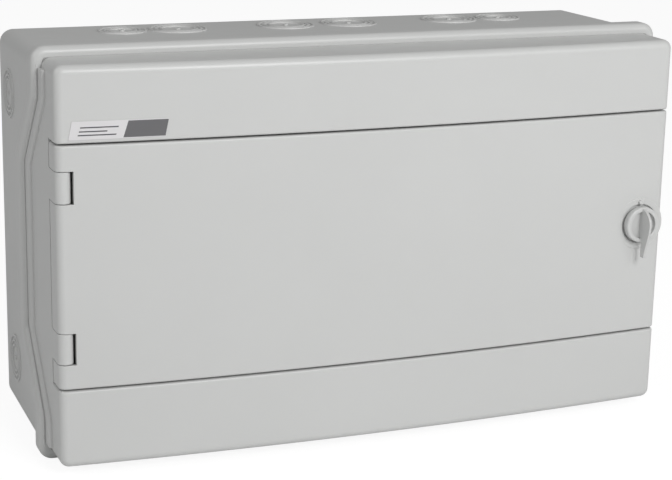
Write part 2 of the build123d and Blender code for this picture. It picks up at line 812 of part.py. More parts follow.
def make_surge_base():
    """Surge-arrester base with a channel for its plug-in modules."""
    left = surge_left()
    right = left + module * surge_modules
    body = module_body(left, right, front=shoulder_depth + 8)
    rise = nose_height / 2 - 2
    body = body - block(left - 1, right + 1, rail_front + 22, reach, rail_z - rise, rail_z + rise)
    centres = [left + module * (index + 0.5) for index in range(surge_modules)]
    return drill_terminals(body, centres)


def make_surge_plug(index):
    """Plug-in varistor module."""
    x = surge_left() + module * (index + 0.5)
    half = (module - module_gap) / 2 - 0.1
    rise = nose_height / 2 - 2 - fit_gap
    plug = block(x - half, x + half, rail_front + 22 + fit_gap, shoulder_depth + 8.2,
                 rail_z - rise, rail_z + rise)
    head_rise = nose_height / 2 - 0.2
    head = block(x - half, x + half, shoulder_depth + 8.2, nose_depth + 2, rail_z - head_rise,
                 rail_z + head_rise)
    head = fillet(head.faces().sort_by(Axis.Y)[0].edges(), 1.0)
    flag = block(x - 2.5, x + 2.5, nose_depth + 1.2, reach, rail_z + 9, rail_z + 14)
    return plug + head - flag


def make_blanking_strip():
    """Cover for the free places in the mask's window."""
    left = surge_left() + module * surge_modules + 0.5
    right = -row_left + window_clear - fit_gap
    rise = nose_height / 2 + window_clear - fit_gap
    strip = block(left, right, mask_rear, mask_front + 1.5, rail_z - rise, rail_z + rise)
    strip = fillet(strip.faces().sort_by(Axis.Y)[0].edges(), 0.8)
    for index in range(1, blank_modules):
        x = left + (right - left) * index / blank_modules
        strip = strip - block(x - 0.4, x + 0.4, mask_front + 0.9, reach, -reach, reach)
    return strip


def make_terminal_screws():
    """Clamping screws of every fuse holder."""
    screws = []
    for index in range(fuse_count):
        for way in (1, -1):
            z = terminal_z(way)
            body = rod(fuse_centre(index), z, 3.0, shoulder_depth - 13.5, shoulder_depth - 5)
            slot = block(-reach, reach, shoulder_depth - 6.5, reach, z - 0.5, z + 0.5)
            screws.append(body - slot)
    return screws


def make_busbar(first, last):
    """Comb bar that joins the lower terminals of a run of fuse holders."""
    below = rail_z - body_height / 2
    x0 = fuse_centre(first) - 6
    x1 = fuse_centre(last) + 6
    depth = wire_depth
    bar = block(x0, x1, depth - 1.25, depth + 1.25, below - busbar_drop, below - 3)
    for index in range(first, last + 1):
        x = fuse_centre(index)
        bar = bar + block(x - 2.5, x + 2.5, depth - 1.25, depth + 1.25, below - 4, below + 8)
    return bar


# ---------------------------------------------------------------- earth bar and wires

def earth_places():
    """X of each way of the earth bar."""
    pitch = earth_length / earth_ways
    return [pitch * (index + 0.5) - earth_length / 2 for index in range(earth_ways)]


def make_earth_bar():
    """Brass bar with a cross hole and a screw hole for each wire."""
    half = earth_length / 2
    bar = block(-half, half, earth_depth, earth_depth + earth_deep, earth_z - 4, earth_z + 4)
    for x in earth_places():
        bar = bar - upright(x, earth_hole_depth, earth_hole, earth_z - 10, earth_z + 10)
        bar = bar - rod(x, earth_z, 2.1, earth_hole_depth, reach)
    return bar


def make_earth_feet():
    """Two moulded feet that stand the earth bar off the base."""
    feet = []
    for x in (3 - earth_length / 2, earth_length / 2 - 3):
        feet.append(block(x - 3, x + 3, wall, earth_depth, earth_z - 7, earth_z + 7))
    return feet


def make_earth_screws():
    """Slotted screws of the earth bar."""
    front = earth_depth + earth_deep + 2.6
    tip = earth_hole_depth + earth_hole
    return [screw(x, earth_z, 3.4, 2.4, 2.0, tip, front) for x in earth_places()]


def wire(points):
    """Insulated wire along straight runs joined by arcs."""
    radii = []
    for before, corner, after in zip(points, points[1:], points[2:]):
        arriving = Vector(*corner) - Vector(*before)
        leaving = Vector(*after) - Vector(*corner)
        turn = arriving.get_angle(leaving)
        shorter = min(arriving.length, leaving.length)
        radii.append(0.45 * shorter / math.tan(math.radians(turn / 2)))
    path = FilletPolyline(*points, radius=radii)
    section = Plane(origin=path @ 0, z_dir=path % 0) * Circle(wire_radius)
    return sweep(section, path)


def isolator_way(index):
    """X of one of the isolator's terminals."""
    return row_left + module * (fuse_count + index + 0.5)


def surge_way(index):
    """X of one of the surge arrester's terminals."""
    return surge_left() + module * (index + 0.5)


def loop_wire(x0, z0, x1, z1, turn_z):
    """Wire between two upright ends, by way of a run across at turn_z."""
    y = -wire_depth
    return wire([(x0, y, z0), (x0, y, turn_z), (x1, y, turn_z), (x1, y, z1)])


def make_feed_wire(from_fuse, to_way, drop):
    """Wire from a busbar down and up into one of the isolator's lower terminals."""
    below = rail_z - body_height / 2
    bar_foot = below - busbar_drop
    return loop_wire(fuse_centre(from_fuse), bar_foot, isolator_way(to_way), below + wire_entry, drop)


def make_surge_wires():
    """Wires from the isolator's upper terminals to the surge arrester's."""
    above = rail_z + body_height / 2
    wires = []
    for way, rise in ((2, 28.0), (3, 44.0)):
        end = above - wire_entry
        wires.append(loop_wire(isolator_way(way), end, surge_way(3 - way), end, above + rise))
    return wires


def make_earth_wire():
    """Wire from the earth bar to the surge arrester's lower terminal."""
    x0 = earth_places()[-1]
    x1 = surge_way(1)
    below = rail_z - body_height / 2
    bend = (earth_z + below) / 2
    return wire([(x0, -earth_hole_depth, earth_z), (x0, -earth_hole_depth, bend),
                 (x1, -wire_depth, bend), (x1, -wire_depth, below + wire_entry)])


# ---------------------------------------------------------------- labels

def make_rating_label():
    """Slanted adhesive label on the upper fascia, without lettering."""
    low = door_top + door_gap + label_above
    high = low + label_height
    lean = label_height * 0.2
    corners = [(label_left - lean, low), (label_left, high), (label_right, high), (label_right - lean, low)]
    outline = make_face(Polyline(*corners, close=True))
    prism = extrude(Plane.XZ.offset(cover_depth - 5) * outline, reach)
    return (prism & under_front(-label_thick)) - under_front(0)


def make_circuit_strip():
    """Plain paper strip above the mask's window."""
    low = rail_z + nose_height / 2 + 6
    return block(row_left, -row_left, mask_front, mask_front + label_thick, low, low + 11)


def export_enclosure():
    """Write the base, cover, door, seals, hinge pins and screws."""
    form = cover_form()
    save("base_shell", [make_base()])
    save("cover_frame", [make_cover(form)])
    save("door_leaf", [make_door(form)])
    save("cover_seal", [seal_ring(split_gap)])
    save("door_seal", make_door_seal())
    save("hinge_pin_upper", [make_hinge_pin(hinge_zs[0])])
    save("hinge_pin_lower", [make_hinge_pin(hinge_zs[1])])
    save("cover_screws", make_cover_screws())
    save("rating_label", [make_rating_label()])
    save("circuit_strip", [make_circuit_strip()])


def export_latch():
    """Write the latch's pieces."""
    save("latch_knob", [make_latch_knob()])
    save("latch_bush", [make_latch_bush()])
    save("latch_seal", [make_latch_seal()])
    save("latch_cam", [make_latch_cam()])
    save("latch_screw", [make_latch_screw()])
    save("latch_catch", [make_latch_catch()])


def export_row():
    """Write the rail and everything on it."""
    save("din_rail", [make_rail()])
    save("rail_brackets", make_rail_brackets())
    save("rail_screws", make_rail_screws())
    for index in range(fuse_count):
        x = fuse_centre(index)
        save(f"fuse_holder_{index + 1}", [make_fuse_holder(x)])
        save(f"fuse_carrier_{index + 1}", [make_fuse_carrier(x)])
        save(f"fuse_link_{index + 1}", [make_fuse_link(x)])
    save("terminal_screws", make_terminal_screws())
    save("isolator_body", [make_isolator()])
    save("isolator_handle", [make_isolator_handle()])
    save("surge_base", [make_surge_base()])
    for index in range(surge_modules):
        save(f"surge_plug_{index + 1}", [make_surge_plug(index)])
    save("blanking_strip", [make_blanking_strip()])


def export_wiring():
    """Write the busbars, the earth bar and the wires."""
    half = fuse_count // 2
    save("busbar_positive", [make_busbar(0, half - 1)])
    save("busbar_negative", [make_busbar(half, fuse_count - 1)])
    save("earth_bar", [make_earth_bar()])
    save("earth_feet", make_earth_feet())
    save("earth_screws", make_earth_screws())
    save("wire_positive", [make_feed_wire(half - 1, 1, earth_z - 14)])
    save("wire_negative", [make_feed_wire(fuse_count - 1, 0, earth_z + 2)])
    save("wire_surge", make_surge_wires())
    save("wire_earth", [make_earth_wire()])


os.makedirs("parts", exist_ok=True)
export_enclosure()
export_latch()
export_row()
export_wiring()
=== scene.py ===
import math

import bmesh
import bpy
from mathutils import Matrix, Vector


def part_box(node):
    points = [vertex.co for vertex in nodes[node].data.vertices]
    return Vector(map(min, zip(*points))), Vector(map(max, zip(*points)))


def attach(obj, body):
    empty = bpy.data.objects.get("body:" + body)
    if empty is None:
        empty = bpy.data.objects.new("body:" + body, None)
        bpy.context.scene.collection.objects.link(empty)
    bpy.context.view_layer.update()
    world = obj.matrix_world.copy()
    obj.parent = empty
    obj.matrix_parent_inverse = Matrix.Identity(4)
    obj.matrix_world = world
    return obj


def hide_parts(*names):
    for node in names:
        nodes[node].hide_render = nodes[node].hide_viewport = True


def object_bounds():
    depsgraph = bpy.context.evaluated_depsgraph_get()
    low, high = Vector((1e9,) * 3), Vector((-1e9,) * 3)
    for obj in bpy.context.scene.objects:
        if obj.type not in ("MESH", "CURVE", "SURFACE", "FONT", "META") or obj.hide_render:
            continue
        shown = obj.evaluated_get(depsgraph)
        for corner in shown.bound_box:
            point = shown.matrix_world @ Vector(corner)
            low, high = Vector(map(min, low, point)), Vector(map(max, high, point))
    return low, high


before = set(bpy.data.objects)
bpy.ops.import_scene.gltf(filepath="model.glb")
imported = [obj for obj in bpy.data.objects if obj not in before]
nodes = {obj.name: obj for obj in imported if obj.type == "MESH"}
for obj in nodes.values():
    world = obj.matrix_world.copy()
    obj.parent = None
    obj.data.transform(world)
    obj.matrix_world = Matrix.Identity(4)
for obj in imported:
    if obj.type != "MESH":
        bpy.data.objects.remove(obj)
cad_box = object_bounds()
MM = 0.001


# Base shell.  A deep box moulded in light grey self-extinguishing plastic, with a bead round
# its rim and raised knock-out rings in its walls.  The moulding is satin from a lightly
# etched tool: a fine grain and a broad unevenness in tone.  Its edges shine softly: a rounded
# shading normal, with a painted highlight in a lighter colour on top.

def put(tree, kind, inputs=None, **settings):
    """Add a node, set it up, and feed each named input with a value or another node's output."""
    made = tree.nodes.new(kind)
    for name, value in settings.items():
        setattr(made, name, value)
    for name, value in (inputs or {}).items():
        if isinstance(value, bpy.types.NodeSocket):
            tree.links.new(value, made.inputs[name])
        else:
            made.inputs[name].default_value = value
    return made


def math_node(tree, operation, first, second=0.0, clamp=False):
    """Arithmetic on two values."""
    return put(tree, "ShaderNodeMath", {0: first, 1: second}, operation=operation,
               use_clamp=clamp).outputs[0]


def mix_colour(tree, share, first, second, blend="MIX"):
    """Mix or multiply two colours."""
    mix = put(tree, "ShaderNodeMix", {"Factor": share, 6: first, 7: second}, data_type="RGBA",
              blend_type=blend)
    return mix.outputs[2]


def new_group(name, inputs, outputs):
    """Shader node group with named inputs (kind, value) and outputs (kind)."""
    tree = bpy.data.node_groups.new(name, "ShaderNodeTree")
    for label, (kind, value) in inputs.items():
        socket = tree.interface.new_socket(label, in_out="INPUT", socket_type="NodeSocket" + kind)
        if value is not None:
            socket.default_value = value
    for label, kind in outputs.items():
        tree.interface.new_socket(label, in_out="OUTPUT", socket_type="NodeSocket" + kind)
    return tree, put(tree, "NodeGroupInput").outputs, put(tree, "NodeGroupOutput").inputs


def moulded_grain():
    """Tone, roughness and height of a satin moulded surface."""
    tree, given, result = new_group(
        "moulded_grain",
        {"Colour": ("Color", (1, 1, 1, 1)), "Grain scale": ("Float", 1800.0),
         "Mottle scale": ("Float", 9.0), "Mottle": ("Float", 0.03),
         "Roughness": ("Float", 0.45), "Roughness spread": ("Float", 0.08)},
        {"Colour": "Color", "Roughness": "Float", "Height": "Float"})
    place = put(tree, "ShaderNodeTexCoord").outputs["Object"]
    grain = put(tree, "ShaderNodeTexNoise", {"Vector": place, "Scale": given["Grain scale"],
                                             "Detail": 2.0, "Roughness": 0.6}).outputs[0]
    cloud = put(tree, "ShaderNodeTexNoise", {"Vector": place, "Scale": given["Mottle scale"],
                                             "Detail": 3.0, "Roughness": 0.55}).outputs[0]
    rubbed = put(tree, "ShaderNodeTexNoise", {"Vector": place, "Scale": 55.0, "Detail": 4.0,
                                              "Roughness": 0.7}).outputs[0]
    swing = math_node(tree, "SUBTRACT", cloud, 0.5)
    fine = math_node(tree, "MULTIPLY", math_node(tree, "SUBTRACT", grain, 0.5), 0.35)
    swing = math_node(tree, "MULTIPLY", math_node(tree, "ADD", swing, fine), given["Mottle"])
    tone = math_node(tree, "ADD", swing, 1.0)
    shade = put(tree, "ShaderNodeCombineColor", {"Red": tone, "Green": tone, "Blue": tone})
    tinted = mix_colour(tree, 1.0, given["Colour"], shade.outputs[0], "MULTIPLY")
    tree.links.new(tinted, result["Colour"])
    spread = math_node(tree, "MULTIPLY", math_node(tree, "SUBTRACT", rubbed, 0.5),
                       given["Roughness spread"])
    rough = math_node(tree, "ADD", given["Roughness"], math_node(tree, "MULTIPLY", spread, 2.0))
    tree.links.new(rough, result["Roughness"])
    tree.links.new(grain, result["Height"])
    return tree


def painted_edge_highlights():
    """Painted highlight on edges: a lighter edge colour mixed in over a mask that breaks up along
    the edge, and a rounded normal.
    """
    tree, given, result = new_group(
        "painted_edge_highlights",
        {"Colour": ("Color", (1, 1, 1, 1)), "Edge colour": ("Color", (1, 1, 1, 1)),
         "Radius": ("Float", 0.6 * MM), "Amount": ("Float", 0.5)},
        {"Colour": "Color", "Mask": "Float", "Normal": "Vector"})
    place = put(tree, "ShaderNodeTexCoord").outputs["Object"]
    rounded = put(tree, "ShaderNodeBevel", {"Radius": given["Radius"]}, samples=6).outputs[0]
    true_normal = put(tree, "ShaderNodeNewGeometry").outputs["Normal"]
    facing = put(tree, "ShaderNodeVectorMath", {0: rounded, 1: true_normal},
                 operation="DOT_PRODUCT").outputs["Value"]
    turned = math_node(tree, "SUBTRACT", 1.0, facing)
    turned = math_node(tree, "MULTIPLY", turned, 6.0, clamp=True)
    broken = put(tree, "ShaderNodeTexNoise", {"Vector": place, "Scale": 160.0, "Detail": 4.0})
    broken = put(tree, "ShaderNodeMapRange", {"Value": broken.outputs[0], "From Min": 0.2,
                                              "From Max": 0.45}).outputs[0]
    mask = math_node(tree, "MULTIPLY", math_node(tree, "MULTIPLY", turned, broken),
                     given["Amount"], clamp=True)
    # painted highlight: the lighter edge colour is mixed over the surface colour where the edge
    # turns
    tree.links.new(mix_colour(tree, mask, given["Colour"], given["Edge colour"]), result["Colour"])
    tree.links.new(mask, result["Mask"])
    tree.links.new(rounded, result["Normal"])
    return tree


def settled_dust():
    """Thin dust that lies on faces that look up, thicker in patches."""
    tree, given, result = new_group(
        "settled_dust",
        {"Colour": ("Color", (1, 1, 1, 1)), "Dust colour": ("Color", (0.5, 0.47, 0.43, 1)),
         "Amount": ("Float", 0.2)},
        {"Colour": "Color", "Mask": "Float"})
    coordinates = put(tree, "ShaderNodeTexCoord").outputs
    upward = put(tree, "ShaderNodeSeparateXYZ", {0: coordinates["Normal"]}).outputs["Z"]
    patch = put(tree, "ShaderNodeTexNoise", {"Vector": coordinates["Object"], "Scale": 26.0,
                                             "Detail": 6.0, "Roughness": 0.65}).outputs[0]
    patch = put(tree, "ShaderNodeMapRange", {"Value": patch, "From Min": 0.3,
                                             "From Max": 0.7}).outputs[0]
    lying = put(tree, "ShaderNodeMapRange", {"Value": upward, "From Min": 0.5,
                                             "From Max": 1.0}).outputs[0]
    mask = math_node(tree, "MULTIPLY", math_node(tree, "MULTIPLY", lying, patch),
                     given["Amount"], clamp=True)
    tree.links.new(mix_colour(tree, mask, given["Colour"], given["Dust colour"]), result["Colour"])
    tree.links.new(mask, result["Mask"])
    return tree


grain_group = moulded_grain()
edge_group = painted_edge_highlights()
dust_group = settled_dust()


def use_group(tree, group, **inputs):
    """Place a shared effect in a material, with its inputs named with underscores for spaces."""
    placed = put(tree, "ShaderNodeGroup", node_tree=group)
    for name, value in inputs.items():
        socket = placed.inputs[name.replace("_", " ")]
        if isinstance(value, bpy.types.NodeSocket):
            tree.links.new(value, socket)
        else:
            socket.default_value = value
    return placed.outputs


def bare_material(name):
    """Empty material with its shader and output."""
    material = bpy.data.materials.new(name)
    material.use_nodes = True
    return material, material.node_tree, material.node_tree.nodes["Principled BSDF"]


def plastic(name, colour, edge_colour, roughness=0.42, grain=1800.0, bump=0.05, mottle=0.05,
            edge_radius=0.6, edge=0.5, dust=0.15):
    """Moulded plastic with grain, a painted highlight on its edges and a little dust."""
    material, tree, shader = bare_material(name)
    surface = use_group(tree, grain_group, Colour=(*colour, 1), Grain_scale=grain,
                        Mottle=mottle, Roughness=roughness)
    # painted highlight: the lighter edge colour is laid over the surface colour at the edges
    edges = use_group(tree, edge_group, Colour=surface["Colour"], Edge_colour=(*edge_colour, 1),
                      Radius=edge_radius * MM, Amount=edge)
    dusty = use_group(tree, dust_group, Colour=edges["Colour"], Amount=dust)
    tree.links.new(dusty["Colour"], shader.inputs["Base Color"])
    rough = math_node(tree, "ADD", surface["Roughness"],
                      math_node(tree, "MULTIPLY", dusty["Mask"], 0.4), clamp=True)
    tree.links.new(rough, shader.inputs["Roughness"])
    raised = put(tree, "ShaderNodeBump", {"Strength": bump, "Distance": 0.2 * MM,
                                          "Height": surface["Height"],
                                          "Normal": edges["Normal"]})
    tree.links.new(raised.outputs[0], shader.inputs["Normal"])
    shader.inputs["Specular IOR Level"].default_value = 0.5
    return material


def finish(material, *names):
    """Give CAD nodes their material."""
    for name in names:
        for place in nodes[name].material_slots:
            place.material = material


# the lighter edge colour (0.80) is a painted highlight on the shell's edges
shell_grey = plastic("shell_grey", (0.595, 0.60, 0.592), (0.80, 0.80, 0.79), 0.36,
                     edge_radius=0.8, edge=0.85, dust=0.05)
finish(shell_grey, "base_shell")


# Knock-out webs.  Each round knock-out keeps two short webs between its rings, left and right,
# where the plastic flows across.  They belong to the same moulding as the base.

def geometry_tree(name, inputs):
    """Geometry node tree that takes points and gives a mesh, with named inputs."""
    tree = bpy.data.node_groups.new(name, "GeometryNodeTree")
    tree.interface.new_socket("Geometry", in_out="INPUT", socket_type="NodeSocketGeometry")
    for label, kind in inputs.items():
        tree.interface.new_socket(label, in_out="INPUT", socket_type="NodeSocket" + kind)
    tree.interface.new_socket("Geometry", in_out="OUTPUT", socket_type="NodeSocketGeometry")
    return tree, put(tree, "NodeGroupInput").outputs, put(tree, "NodeGroupOutput").inputs


def finish_tree(tree, shape, material, result):
    """Smooth what is nearly flat, realize the copies and set their material."""
    real = put(tree, "GeometryNodeRealizeInstances", {"Geometry": shape}).outputs[0]
    smooth = put(tree, "GeometryNodeSetShadeSmooth", {0: real}).outputs[0]
    angle = put(tree, "GeometryNodeInputMeshEdgeAngle").outputs["Unsigned Angle"]
    sharp = put(tree, "FunctionNodeCompare", {"A": angle, "B": math.radians(32)},
                operation="GREATER_THAN").outputs[0]
    creased = put(tree, "GeometryNodeSetShadeSmooth",
                  {0: smooth, "Selection": sharp, "Shade Smooth": False}, domain="EDGE")
    painted = put(tree, "GeometryNodeSetMaterial", {"Geometry": creased.outputs[0],
                                                    "Material": material})
    tree.links.new(painted.outputs[0], result["Geometry"])


def grown(name, tree, points, values, body, replaced=()):
    """Piece that a geometry tree grows from points, turned into a plain mesh."""
    seed = bpy.data.meshes.new(name + "_points")
    seed.from_pydata([Vector(point) for point in points], [], [])
    holder = bpy.data.objects.new(name + "_seed", seed)
    bpy.context.scene.collection.objects.link(holder)
    modifier = holder.modifiers.new("grow", "NODES")
    modifier.node_group = tree
    for item in tree.interface.items_tree:
        if item.in_out == "INPUT" and item.name in values:
            modifier[item.identifier] = values[item.name]
    bpy.context.view_layer.update()
    evaluated = holder.evaluated_get(bpy.context.evaluated_depsgraph_get())
    mesh = bpy.data.meshes.new_from_object(evaluated)
    bpy.data.objects.remove(holder)
    piece = bpy.data.objects.new(name, mesh)
    bpy.context.scene.collection.objects.link(piece)
    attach(piece, body)
    if replaced:
        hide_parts(*replaced)


def bar_tree():
    """A bar of one size at every point."""
    tree, given, result = geometry_tree("bars", {"Size": "Vector", "Material": "Material"})
    bar = put(tree, "GeometryNodeMeshCube", {"Size": given["Size"]}).outputs[0]
    copies = put(tree, "GeometryNodeInstanceOnPoints", {"Points": given["Geometry"],
                                                        "Instance": bar}).outputs[0]
    finish_tree(tree, copies, given["Material"], result)
    return tree


bars = bar_tree()
rim_step = Vector((4.0, 0, 5.5)) * MM            # from the rim's outline in to the base's walls
base_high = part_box("base_shell")[1]
web_out = 0.35 * MM                              # middle of a web, above its wall
wall_top = base_high.z - rim_step.z + web_out
wall_side = base_high.x - rim_step.x + web_out
knockout_y = -31 * MM
small_rings, large_rings = (14.1, 10.9), (17.7, 14.1)
top_webs, side_webs = [], []
for x, rings in ((137, small_rings), (-137, small_rings), (23, large_rings), (-23, large_rings),
                 (99, large_rings), (-99, large_rings)):
    for ring in rings:
        for way in (1, -1):
            for level in (wall_top, -wall_top):
                top_webs.append(((x + way * ring) * MM, knockout_y, level))
for side in (1, -1):
    for level in (90, -90):
        for ring in small_rings:
            for way in (1, -1):
                side_webs.append((side * wall_side, knockout_y, (level + way * ring) * MM))
web_long, web_wide, web_high = 2.4 * MM, 1.4 * MM, 0.7 * MM
grown("knockout_webs", bars, top_webs,
      {"Size": (web_long, web_wide, web_high), "Material": shell_grey},
      "enclosure")
grown("knockout_side_webs", bars, side_webs,
      {"Size": (web_high, web_wide, web_long), "Material": shell_grey},
      "enclosure")


# Rail, its two risers and their screws.  Zinc-plated steel strip, roll-formed and cut, which
# shows long faint streaks from the rolling and a cloudy, slightly yellow plating.

def plated_streaks():
    """Streaks and cloud of rolled, plated metal."""
    tree, given, result = new_group(
        "plated_streaks",
        {"Colour": ("Color", (0.6, 0.6, 0.6, 1)), "Cloud colour": ("Color", (0.5, 0.48, 0.42, 1)),
         "Stretch": ("Vector", (0.04, 1.0, 1.0)), "Roughness": ("Float", 0.3)},
        {"Colour": "Color", "Roughness": "Float", "Height": "Float"})
    place = put(tree, "ShaderNodeTexCoord").outputs["Object"]
    along = put(tree, "ShaderNodeVectorMath", {0: place, 1: given["Stretch"]},
                operation="MULTIPLY").outputs["Vector"]
    streak = put(tree, "ShaderNodeTexNoise", {"Vector": along, "Scale": 1500.0,
                                              "Detail": 3.0}).outputs[0]
    cloud = put(tree, "ShaderNodeTexNoise", {"Vector": place, "Scale": 70.0,
                                             "Detail": 5.0}).outputs[0]
    tree.links.new(mix_colour(tree, cloud, given["Colour"], given["Cloud colour"]),
                   result["Colour"])
    rough = math_node(tree, "ADD", given["Roughness"],
                      math_node(tree, "MULTIPLY", math_node(tree, "SUBTRACT", streak, 0.5), 0.25))
    tree.links.new(rough, result["Roughness"])
    tree.links.new(streak, result["Height"])
    return tree


streak_group = plated_streaks()


def metal(name, colour, cloud, roughness=0.3, stretch=(0.04, 1.0, 1.0), edge_colour=None):
    """Metal with streaks, a cloudy surface and edges painted brighter as a highlight."""
    material, tree, shader = bare_material(name)
    surface = use_group(tree, streak_group, Colour=(*colour, 1), Cloud_colour=(*cloud, 1),
                        Stretch=stretch, Roughness=roughness)
    # painted highlight: the brighter edge colour is mixed in at the edges
    edges = use_group(tree, edge_group, Colour=surface["Colour"],
                      Edge_colour=(*(edge_colour or colour), 1), Radius=0.3 * MM, Amount=0.8)
    tree.links.new(edges["Colour"], shader.inputs["Base Color"])
    tree.links.new(surface["Roughness"], shader.inputs["Roughness"])
    raised = put(tree, "ShaderNodeBump", {"Strength": 0.08, "Distance": 0.05 * MM,
                                          "Height": surface["Height"], "Normal": edges["Normal"]})
    tree.links.new(raised.outputs[0], shader.inputs["Normal"])
    shader.inputs["Metallic"].default_value = 1.0
    return material


zinc = metal("zinc_plate", (0.62, 0.63, 0.64), (0.52, 0.50, 0.44), edge_colour=(0.75, 0.75, 0.76))
finish(zinc, "din_rail", "rail_brackets")


def screw_tree():
    """Pan-head screws at every point, facing -Y, with a cross or a single slot."""
    tree, given, result = geometry_tree(
        "screws", {"Head radius": "Float", "Head height": "Float", "Slot width": "Float",
                   "Shank radius": "Float", "Shank length": "Float", "Cross": "Float",
                   "Material": "Material"})
    radius, height = given["Head radius"], given["Head height"]
    head = put(tree, "GeometryNodeMeshCylinder",
               {"Vertices": 36, "Side Segments": 3, "Fill Segments": 4, "Radius": radius,
                "Depth": height})
    place = put(tree, "GeometryNodeInputPosition").outputs[0]
    parts = put(tree, "ShaderNodeSeparateXYZ", {0: place}).outputs
    flat = put(tree, "ShaderNodeCombineXYZ", {"X": parts["X"], "Y": parts["Y"]}).outputs[0]
    out = put(tree, "ShaderNodeVectorMath", {0: flat}, operation="LENGTH").outputs["Value"]
    share = math_node(tree, "DIVIDE", out, radius)
    top = put(tree, "FunctionNodeCompare", {"A": parts["Z"], "B": 0.0},
              operation="GREATER_THAN").outputs[0]
    fall = math_node(tree, "MULTIPLY", math_node(tree, "POWER", share, 4.0), height)
    drop = math_node(tree, "MULTIPLY", fall, -0.3)
    offset = put(tree, "ShaderNodeCombineXYZ", {"Z": drop}).outputs[0]
    domed = put(tree, "GeometryNodeSetPosition", {"Geometry": head.outputs["Mesh"],
                                                  "Selection": top, "Offset": offset}).outputs[0]
    arm = math_node(tree, "MULTIPLY", radius, 1.2)
    deep = math_node(tree, "MULTIPLY", height, 0.9)
    across = put(tree, "ShaderNodeCombineXYZ", {"X": given["Slot width"], "Y": arm, "Z": deep})
    reach = math_node(tree, "MULTIPLY", given["Cross"], arm)
    reach = math_node(tree, "MAXIMUM", reach, math_node(tree, "MULTIPLY", given["Slot width"], 0.5))
    along = put(tree, "ShaderNodeCombineXYZ", {"X": reach, "Y": given["Slot width"], "Z": deep})
    lift = put(tree, "ShaderNodeCombineXYZ", {"Z": math_node(tree, "MULTIPLY", height, 0.55)})
    cutters = []
    for size in (across, along):
        cube = put(tree, "GeometryNodeMeshCube", {"Size": size.outputs[0]}).outputs[0]
        cutters.append(put(tree, "GeometryNodeTransform", {"Geometry": cube,
                                                           "Translation": lift.outputs[0]}))
    cut = put(tree, "GeometryNodeMeshBoolean", {"Mesh 1": domed}, operation="DIFFERENCE")
    for cutter in cutters:
        tree.links.new(cutter.outputs[0], cut.inputs["Mesh 2"])
    shank = put(tree, "GeometryNodeMeshCylinder",
                {"Vertices": 20, "Radius": given["Shank radius"], "Depth": given["Shank length"]})
    length = math_node(tree, "ADD", given["Shank length"], height)
    below = put(tree, "ShaderNodeCombineXYZ",
                {"Z": math_node(tree, "MULTIPLY", length, -0.5)}).outputs[0]
    shank = put(tree, "GeometryNodeTransform", {"Geometry": shank.outputs["Mesh"],
                                                "Translation": below})
    whole = put(tree, "GeometryNodeJoinGeometry")
    tree.links.new(cut.outputs["Mesh"], whole.inputs[0])
    tree.links.new(shank.outputs[0], whole.inputs[0])
    copies = put(tree, "GeometryNodeInstanceOnPoints",
                 {"Points": given["Geometry"], "Instance": whole.outputs[0],
                  "Rotation": (math.radians(90), 0, 0)}).outputs[0]
    finish_tree(tree, copies, given["Material"], result)
    return tree


screws = screw_tree()


def corner_points(node, head_radius, head_height):
    """Places of the outermost screws in a CAD node, at the middle of their heads."""
    low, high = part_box(node)
    y = low.y + head_height * MM / 2
    xs = sorted({low.x + head_radius * MM, high.x - head_radius * MM})
    zs = sorted({low.z + head_radius * MM, high.z - head_radius * MM})
    if zs[1] - zs[0] < 0.1 * MM:
        zs = zs[:1]
    return [(x, y, z) for x in xs for z in zs]


def screw_heads(name, points, head, slot_width, shank, cross, replaced):
    """Plated screws at every point; head and shank are (radius, length) in millimetres."""
    grown(name, screws, points,
          {"Head radius": head[0] * MM, "Head height": head[1] * MM,
           "Slot width": slot_width * MM, "Shank radius": shank[0] * MM,
           "Shank length": shank[1] * MM, "Cross": cross, "Material": zinc},
          "enclosure", [replaced])


rail_head = (4.0, 2.5)
screw_heads("rail_screw_heads", corner_points("rail_screws", *rail_head), rail_head, 1.0,
            (1.75, 8.8), 1.0, "rail_screws")


# Earth bar.  A sawn brass bar drilled across for the wires, with a slotted clamping screw over
# each hole, on two moulded feet that snap onto the base.

brass = metal("brass_bar", (0.68, 0.50, 0.24), (0.56, 0.40, 0.20), 0.32,
              edge_colour=(0.85, 0.68, 0.36))
finish(brass, "earth_bar")
foot_grey = plastic("foot_grey", (0.42, 0.42, 0.41), (0.5, 0.5, 0.5), dust=0.05)
finish(foot_grey, "earth_feet")
earth_low, earth_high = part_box("earth_screws")
earth_ways = 9
earth_head = (3.4, 2.4)
first_way = earth_low.x + earth_head[0] * MM
way_pitch = (earth_high.x - earth_low.x - 2 * earth_head[0] * MM) / (earth_ways - 1)
earth_points = [(first_way + way * way_pitch, earth_low.y + earth_head[1] * MM / 2,
                 (earth_low.z + earth_high.z) / 2) for way in range(earth_ways)]
screw_heads("earth_screw_heads", earth_points, earth_head, 0.9, (1.95, 2.9), 0.0, "earth_screws")


# Row modules: eight fuse holders, an isolator and a surge arrester's base.  Housings of grey
# thermoset-like plastic, mat, with slightly sharper edges than the box, clipped on the rail.

fuse_count = 8
module_grey = plastic("module_grey", (0.52, 0.52, 0.50), (0.66, 0.66, 0.64), 0.5, 2600.0, 0.08,
                      edge_radius=0.35, edge=0.4, dust=0.1)
finish(module_grey, *[f"fuse_holder_{index + 1}" for index in range(fuse_count)],
       "isolator_body", "surge_base")


# Fuse links.  Cylinder fuses with a glazed white ceramic tube between two plated caps that are
# pressed on and a little wider than the tube.  Each sits in its carrier.

ceramic = plastic("glazed_ceramic", (0.86, 0.84, 0.78), (0.9, 0.88, 0.84), 0.18, 400.0, 0.03, 0.04,
                  0.2, 0.3, 0.0)
cap_metal = metal("cap_metal", (0.78, 0.77, 0.74), (0.68, 0.66, 0.6), 0.22, (1.0, 1.0, 0.05))


